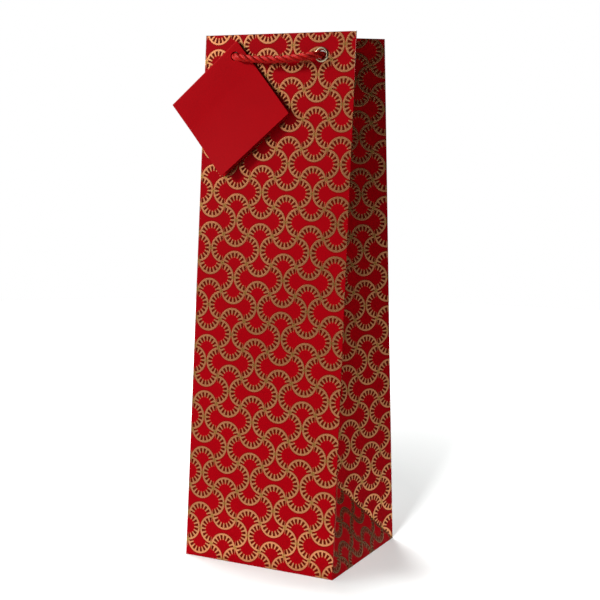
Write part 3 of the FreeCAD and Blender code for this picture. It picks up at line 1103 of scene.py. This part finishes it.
@dataclass(frozen=True)
class RopeLay:
    """How three strands lie round a rope's centre line, in millimetres."""

    diameter: float = 5.2
    strands: int = 3
    strand_radius: float = 1.27
    strand_offset: float = 1.33
    lay: float = 16.8
    sides: int = 10
    step: float = 0.7
    opening: float = 1.1
    thinning: float = 0.45

    def centre_line(self, name: str, points: Sequence[Vector]) -> list[Vector]:
        """Run a smooth line by its control points and read it back.

        Args:
            name: A name for the helper curve.
            points: The control points, in metres.

        Returns:
            Points along the line, evenly spaced.
        """
        data = bpy.data.curves.new(f"{name}_line", "CURVE")
        data.dimensions = "3D"
        spline = data.splines.new("NURBS")
        spline.points.add(len(points) - 1)
        for control, point in zip(spline.points, points):
            control.co = (*point, 1.0)
        spline.order_u = 3
        spline.use_endpoint_u = True
        spline.resolution_u = 24
        helper = bpy.data.objects.new(f"{name}_line", data)
        bpy.context.scene.collection.objects.link(helper)
        bpy.context.view_layer.update()
        graph = bpy.context.evaluated_depsgraph_get()
        read = bpy.data.meshes.new_from_object(helper.evaluated_get(graph))
        line = [vertex.co.copy() for vertex in read.vertices]
        bpy.data.meshes.remove(read)
        bpy.data.objects.remove(helper)
        return self.evened(line)

    def evened(self, line: Sequence[Vector]) -> list[Vector]:
        """Give points at even steps along a line.

        Args:
            line: The line's points, in metres, at any spacing.

        Returns:
            Points about one step apart, with both ends kept.
        """
        total = sum((b - a).length for a, b in zip(line, line[1:]))
        count = max(8, round(total / (self.step * MM)))
        gap, made, carry = total / count, [line[0].copy()], 0.0
        for a, b in zip(line, line[1:]):
            length = (b - a).length
            at = gap - carry
            while at <= length + 1e-12 and len(made) < count:
                made.append(a.lerp(b, at / length))
                at += gap
            carry = length - (at - gap)
        made.append(line[-1].copy())
        return made

    def twist(self, name: str, line: Sequence[Vector], loose: float = 0.0) -> bpy.types.Object:
        """Lay the strands along a centre line.

        Args:
            name: The rope's name.
            line: The centre line, in metres, evenly spaced.
            loose: How much of the far end has come unlaid, in millimetres.

        Returns:
            The rope as one mesh, with its strands' lengths and turns as its print places.
        """
        count = len(line)
        tangents = [(line[min(i + 1, count - 1)] - line[max(i - 1, 0)]).normalized() for i in range(count)]
        side = tangents[0].orthogonal().normalized()
        sides = []
        for tangent in tangents:
            side = (side - tangent * side.dot(tangent)).normalized()
            sides.append(side)
        gap = (line[1] - line[0]).length
        vertices: list[Vector] = []
        faces: list[tuple[int, ...]] = []
        places: list[tuple[float, float]] = []
        for strand in range(self.strands):
            base = len(vertices)
            paths = []
            for i in range(count):
                angle = math.tau * (strand / self.strands + i * gap / (self.lay * MM))
                left = (count - 1 - i) * gap / MM
                open_out = 1.0 + (self.opening * (1 - left / loose) ** 1.5 if left < loose else 0.0)
                other = tangents[i].cross(sides[i])
                way = sides[i] * math.cos(angle) + other * math.sin(angle)
                paths.append(line[i] + way * self.strand_offset * open_out * MM)
            run = 0.0
            for i, centre in enumerate(paths):
                ahead = (paths[min(i + 1, count - 1)] - paths[max(i - 1, 0)]).normalized()
                outward = centre - line[i]
                outward = (outward - ahead * outward.dot(ahead)).normalized()
                other = ahead.cross(outward)
                run += (centre - paths[i - 1]).length if i else 0.0
                left = (count - 1 - i) * gap / MM
                thin = 1.0 - (self.thinning * (1 - left / loose) ** 2 if left < loose else 0.0)
                for k in range(self.sides + 1):
                    turn = math.tau * k / self.sides
                    if k < self.sides:
                        radius = self.strand_radius * thin * MM
                        vertices.append(centre + (outward * math.cos(turn) + other * math.sin(turn)) * radius)
                    places.append((run, k / self.sides))
            for i in range(count - 1):
                for k in range(self.sides):
                    a, b = base + i * self.sides, base + (i + 1) * self.sides
                    j = (k + 1) % self.sides
                    faces.append((a + k, a + j, b + j, b + k))
            for ring, order in ((0, -1), (count - 1, 1)):
                first = base + ring * self.sides
                faces.append(tuple(range(first, first + self.sides))[::order])
        mesh = bpy.data.meshes.new(name)
        mesh.from_pydata(vertices, [], faces)
        marks = mesh.uv_layers.new(name="sheet")
        ring = self.sides + 1
        for face in mesh.polygons:
            turned = [v % self.sides for v in face.vertices]
            wraps = len(turned) == 4 and 0 in turned and self.sides - 1 in turned
            for loop, v in zip(face.loop_indices, face.vertices):
                k = v % self.sides
                k = self.sides if wraps and k == 0 else k
                marks.data[loop].uv = places[(v // self.sides) * ring + k]
        piece = bpy.data.objects.new(name, mesh)
        bpy.context.scene.collection.objects.link(piece)
        mesh.update()
        for face in mesh.polygons:
            face.use_smooth = len(face.vertices) == 4
        return piece


@dataclass
class Handles:
    """Two rope handles, each with its slack hanging inside and an overhand knot at each end."""

    clothes: Wardrobe
    wrap: Wrap
    rope: RopeLay = RopeLay()
    length: float = 310.7
    unlaid: float = 6.0
    route: tuple[tuple[float, float, float], ...] = (
        (-29.2, 131.0, -8.4),
        (-29.2, 84.0, -8.4),
        (-30.6, 38.5, -7.3),
        (-31.5, 14.2, -6.6),
        (-31.5, 15.3, 6.2),
        (-10.5, 18.2, 6.8),
        (11.5, 18.0, 6.7),
        (31.5, 15.3, 6.2),
        (31.5, 14.2, -6.6),
        (30.8, 38.0, -7.4),
        (29.2, 83.0, -8.4),
        (29.2, 129.0, -8.4),
    )
    knot: tuple[tuple[float, float, float], ...] = (
        (0.0, -2.5, 0.0),
        (0.0, 1.2, 0.0),
        (3.6, 2.6, 1.2),
        (2.4, 3.9, -3.6),
        (-3.5, 4.6, -1.6),
        (-2.8, 5.6, 3.4),
        (3.2, 6.5, 2.8),
        (3.5, 7.9, -2.6),
        (-1.8, 8.8, -3.2),
        (-1.4, 10.6, -0.4),
        (0.0, 12.4, 0.0),
        (0.2, 16.4, 0.3),
        (0.5, 20.2, 0.6),
    )

    def make_knot(
        self, name: str, board: Board3D, end: tuple[float, float, float], mirror: float
    ) -> bpy.types.Object:
        """Tie an overhand knot under one end of a handle, with an unlaid tail.

        Args:
            name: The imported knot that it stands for.
            board: The frame of the handle's panel.
            end: The end of the handle's route.
            mirror: 1, or -1 to tie it the other way.

        Returns:
            The knot.
        """
        across, drop, out = end
        top = self.wrap.height
        points = [board.point(across + mirror * x, top - drop - down, out + z) for x, down, z in self.knot]
        piece = self.rope.twist(f"{name}_tied", self.rope.centre_line(name, points), loose=self.unlaid)
        dress(piece, self.clothes.rope)
        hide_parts(name)
        return piece

    def build(self) -> None:
        """Make both handles and their knots."""
        for body, board in (("front", self.wrap.front), ("back", self.wrap.back)):
            points = [board.point(x, self.wrap.height - drop, out) for x, drop, out in self.route]
            line = self.rope.centre_line(body, points)
            piece = self.rope.twist(f"{body}_handle_rope", line)
            dress(piece, self.clothes.rope)
            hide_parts(f"{body}_cord")
            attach(piece, body)
            for end, mirror in ((self.route[0], 1.0), (self.route[-1], -1.0)):
                hand = hand_of(board.point(end[0], 0).x)
                knot = self.make_knot(f"{body}_{hand}_knot", board, end, mirror)
                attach(knot, body)
            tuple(line[0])
            LOG.info("handle: %s rope with two knots", body)


# ---------------------------------------------------------------- tag


@dataclass
class Tag:
    """A square card folded along its upper left edge, hung by one corner on the front handle."""

    clothes: Wardrobe
    wrap: Wrap
    side: float = 64.2
    inset: float = 7.3
    card: float = 0.4
    gap: float = 0.65
    turn: float = -48.8
    hole: float = 3.05
    bend: float = 14.5
    lift: float = 2.4
    lift_curve: float = 1.6
    lift_shares: tuple[float, float] = (0.75, 0.5)
    grain_shift: float = 0.2

    def build(self) -> None:
        """Fold the card: a back leaf, then the fold with the front leaf."""
        height = self.wrap.height - self.wrap.eyelet_drop
        swing = Vector(joint("tag_swing")["pos_m"])
        out = (swing - self.wrap.front.point(-self.wrap.eyelet_reach, height)).dot(self.wrap.front.out) / MM
        board = self.wrap.front.moved(-self.wrap.eyelet_reach, height, out, self.turn)
        self.make_back(board)
        self.make_front(board)
        LOG.info("tag: two leaves of one folded card")

    def make_back(self, board: Board3D) -> None:
        """Make the back leaf, which lies against the bag."""
        near, far = -self.inset + (2 * self.card + self.gap) / 2, self.side - self.inset
        piece = lay_sheet(
            "tag_back_card",
            spread(near, far, 30),
            spread(-far, self.inset, 30),
            lambda x, y: board.point(x, y, 0.0),
            lambda x, y: (x * MM, y * MM),
            -board.out,
            self.card,
        )
        punch(piece, board, 0, 0, self.hole)
        soften(piece)
        dress(piece, self.clothes.card, self.clothes.card, self.clothes.card)
        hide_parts("tag_back_leaf")
        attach(piece, "tag")

    def make_front(self, board: Board3D) -> None:
        """Make the rounded fold and the front leaf, which bends along a line beside the hole."""
        thick = 2 * self.card + self.gap
        r = thick / 2
        far = self.side - self.inset
        fold = arc((-self.inset + r, r), r, -90, -270, 10)
        leaf = [(x, thick) for x in spread(-self.inset + r + 1.0, far, 40)]
        line = fold + leaf

        def place(index: float, y: float) -> Vector:
            """Give the card's place at a step along its line, lifted towards its free corner."""
            x, out = line[int(index)]
            free = max(0.0, (x - self.bend) / (far - self.bend))
            down = max(0.0, (self.inset - y) / self.side)
            least, more = self.lift_shares
            out += self.lift * free**self.lift_curve * (least + more * down)
            return board.point(x, y, out)

        piece = lay_sheet(
            "tag_front_card",
            list(range(len(line))),
            spread(-far, self.inset, 40),
            place,
            lambda index, y: (line[int(index)][0] * MM, (y + self.grain_shift) * MM),
            board.out,
            self.card,
        )
        punch(piece, board, 0, 0, self.hole)
        soften(piece)
        dress(piece, self.clothes.card, self.clothes.card, self.clothes.card)
        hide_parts("tag_fold_strip", "tag_front_leaf")
        middle = board.point(self.bend, 0, thick)
        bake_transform(piece)


# ---------------------------------------------------------------- studio


class Lit(Enum):
    """What a lamp lights."""

    BAG = "bag"
    FLOOR = "floor"


@dataclass
class Studio:
    """The floor, the room, the lamps and the camera."""

    target: Vector = field(default_factory=lambda: Vector((0, 0, 0.1782)))
    floor: bpy.types.Object = field(init=False)
    azimuth: float = 26.48
    elevation: float = 6.53
    roll: float = 0.894
    distance: float = 0.8609
    lens: float = 74.33
    shift: tuple[float, float] = (0.0071, -0.0056)
    floor_radius: float = 1.5
    floor_tones: tuple[str, str] = ("#F2F4F3", "#EDEFEE")
    floor_glow: float = 0.04
    floor_mirrored: float = 0.11
    shade_way: tuple[float, float] = (-0.15, 0.989)
    shade_squeeze: float = 0.36
    shade_reach: tuple[float, float] = (0.08, 0.34)
    bounce: tuple[float, float] = (0.95, 0.36)
    bounce_reach: tuple[float, float] = (0.10, 0.30)
    room_span: tuple[float, float] = (-0.15, 1.0)
    room_dim: float = 0.012
    room_bright: float = 0.24
    window: float = 0.75
    window_span: tuple[float, float] = (0.50, 0.95)
    room_side: tuple[float, float, float] = (-0.91, -0.24, 0.34)
    lamp_aim: tuple[float, float, float] = (0, 0, 0.18)

    def build(self) -> None:
        """Set up the studio."""
        self.make_floor()
        self.make_room()
        self.make_lamps()
        self.make_camera()
        LOG.info("studio: floor, room, lamps and camera")

    def make_floor(self) -> None:
        """Lay a wide pale floor.

        It has a glow that turns it white, which the camera sees in full, other mirrored rays
        see a little of, and nothing is lit by. The glow is weak near the bag, where its shadow
        falls. To every other ray the floor gets darker away from the bag.
        """
        clear_selection()
        bpy.ops.mesh.primitive_circle_add(
            vertices=128, radius=self.floor_radius, fill_type="NGON", location=(0, 0, -0.0002)
        )
        self.floor = bpy.context.object
        self.floor.name = "studio_floor"
        bpy.ops.object.transform_apply(location=True, rotation=True, scale=True)
        material, tree, shader = Finish("matt_white_floor").start()
        grain = node(tree, "TexNoise", {"Scale": 3.0, "Detail": 2.0})
        ends = {6 + i: linear(code) for i, code in enumerate(self.floor_tones)}
        tone = node(tree, "Mix", {"Factor": grain.outputs["Fac"], **ends}, data_type="RGBA")
        path = node(tree, "LightPath").outputs
        shares = {0: path["Is Glossy Ray"], 1: self.floor_mirrored, 2: path["Is Camera Ray"]}
        seen = node(tree, "Math", shares, operation="MULTIPLY_ADD")
        place = node(tree, "TexCoord").outputs["Object"]
        x, y = self.shade_way
        along = node(tree, "VectorMath", {0: place, 1: (x, y, 0)}, operation="DOT_PRODUCT").outputs["Value"]
        across = node(tree, "VectorMath", {0: place, 1: (y, -x, 0)}, operation="DOT_PRODUCT").outputs["Value"]
        ahead = node(tree, "Math", {0: along, 1: self.shade_squeeze}, operation="MULTIPLY")
        behind = node(tree, "Math", {0: along, 1: -1.0}, operation="MULTIPLY")
        far = node(tree, "Math", {0: ahead.outputs[0], 1: behind.outputs[0]}, operation="MAXIMUM")
        spot = node(tree, "CombineXYZ", {"X": far.outputs[0], "Y": across}).outputs["Vector"]
        away = node(tree, "VectorMath", {0: spot}, operation="LENGTH").outputs["Value"]
        levels = []
        for reach, ends in ((self.shade_reach, (self.floor_glow, 1.0)), (self.bounce_reach, self.bounce)):
            span = dict(zip(("From Min", "From Max", "To Min", "To Max"), reach + ends))
            levels.append(node(tree, "MapRange", {"Value": away, **span}).outputs["Result"])
        shown = node(tree, "Math", {0: levels[1], 1: path["Is Camera Ray"]}, operation="MAXIMUM")
        paint = {0: tone.outputs[2], "Scale": shown.outputs[0]}
        shade = node(tree, "VectorMath", paint, operation="SCALE")
        glow = node(tree, "Math", {0: seen.outputs[0], 1: levels[0]}, operation="MULTIPLY")
        feed(
            shader,
            {
                "Base Color": shade.outputs["Vector"],
                "Roughness": 0.9,
                "Specular IOR Level": 0.1,
                "Emission Color": (1, 1, 1, 1),
                "Emission Strength": glow.outputs[0],
            },
        )
        dress(self.floor, material)

    def make_room(self) -> None:
        """Light the scene from a bright left and a dark right, and show the camera white."""
        world = bpy.data.worlds.new("white_room")
        bpy.context.scene.world = world
        world.use_nodes = True
        tree = world.node_tree
        tree.nodes.clear()
        place = node(tree, "TexCoord").outputs["Generated"]
        side = node(tree, "VectorMath", {0: place, 1: self.room_side}, operation="DOT_PRODUCT")
        levels = []
        for reach, ends in (
            (self.room_span, (self.room_dim, self.room_bright)),
            (self.window_span, (0.0, self.window)),
        ):
            span = dict(zip(("From Min", "From Max", "To Min", "To Max"), reach + ends))
            inputs = {"Value": side.outputs["Value"], **span}
            made = node(tree, "MapRange", inputs, interpolation_type="SMOOTHSTEP")
            levels.append(made.outputs["Result"])
        both = node(tree, "Math", dict(enumerate(levels)), operation="ADD")
        seen = node(tree, "LightPath").outputs["Is Camera Ray"]
        strength = node(tree, "Mix", {"Factor": seen, 2: both.outputs[0], 3: 1.0})
        light = node(tree, "Background", {"Color": (1, 1, 1, 1), "Strength": strength.outputs[0]})
        node(tree, "OutputWorld", {"Surface": light.outputs["Background"]})

    def make_lamps(self) -> None:
        """Light the bag by three lamps, mostly from the left, and the floor by two of its own."""
        lamps = (
            ("key", (-1.70, -0.95, 1.02), 0.28, 42.0, Lit.BAG),
            ("fill", (-1.42, -1.50, 0.82), 0.75, 4.0, Lit.BAG),
            ("right_back", (1.50, 0.70, 1.20), 0.80, 17.0, Lit.BAG),
            ("floor_low", (0.32, -2.08, 0.76), 0.34, 84.0, Lit.FLOOR),
            ("floor_top", (-0.27, 0.20, 2.0), 0.26, 25.0, Lit.FLOOR),
        )
        for name, place, size, power, lit in lamps:
            data = bpy.data.lights.new(name, "AREA")
            data.shape = "SQUARE"
            data.size = size
            data.energy = power
            lamp = bpy.data.objects.new(name, data)
            lamp.location = place
            aim = Vector(self.lamp_aim) - Vector(place)
            lamp.rotation_euler = aim.to_track_quat("-Z", "Y").to_euler()
            bpy.context.scene.collection.objects.link(lamp)
            only = bpy.data.collections.new(f"{name}_lights")
            only.objects.link(self.floor)
            if lit is Lit.BAG:
                only.collection_objects[0].light_linking.link_state = "EXCLUDE"
            lamp.light_linking.receiver_collection = only

    def make_camera(self) -> None:
        """Set the camera a little above the bag's middle and to its right."""
        a, e, r = (math.radians(x) for x in (self.azimuth, self.elevation, self.roll))
        back = Vector((math.sin(a) * math.cos(e), -math.cos(a) * math.cos(e), math.sin(e)))
        right = Vector((math.cos(a), math.sin(a), 0))
        up = back.cross(right)
        x = right * math.cos(r) + up * math.sin(r)
        y = up * math.cos(r) - right * math.sin(r)
        data = bpy.data.cameras.new("camera")
        data.lens = self.lens
        data.sensor_width = 36.0
        data.shift_x, data.shift_y = self.shift
        data.clip_start, data.clip_end = 0.01, 50
        camera = bpy.data.objects.new("camera", data)
        place = self.target + back * self.distance
        turn = Matrix((x, y, back)).transposed().to_4x4()
        camera.matrix_world = Matrix.Translation(place) @ turn
        bpy.context.scene.collection.objects.link(camera)
        bpy.context.scene.camera = camera
        bpy.context.scene.view_settings.view_transform = "Standard"


def note_sizes() -> None:
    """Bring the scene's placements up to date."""
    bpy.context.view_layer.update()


def main() -> None:
    """Build the studio and every sub-assembly of the bag."""
    Studio().build()
    clothes = Wardrobe()
    wrap = Wrap(clothes)
    handles = Handles(clothes, wrap)
    handles.build()
    wrap.build()
    Stiffening(clothes).build()
    Eyelets(clothes, wrap).build()
    Tag(clothes, wrap).build()
    note_sizes()
    clear_selection()


if __name__ == "__main__":
    main()
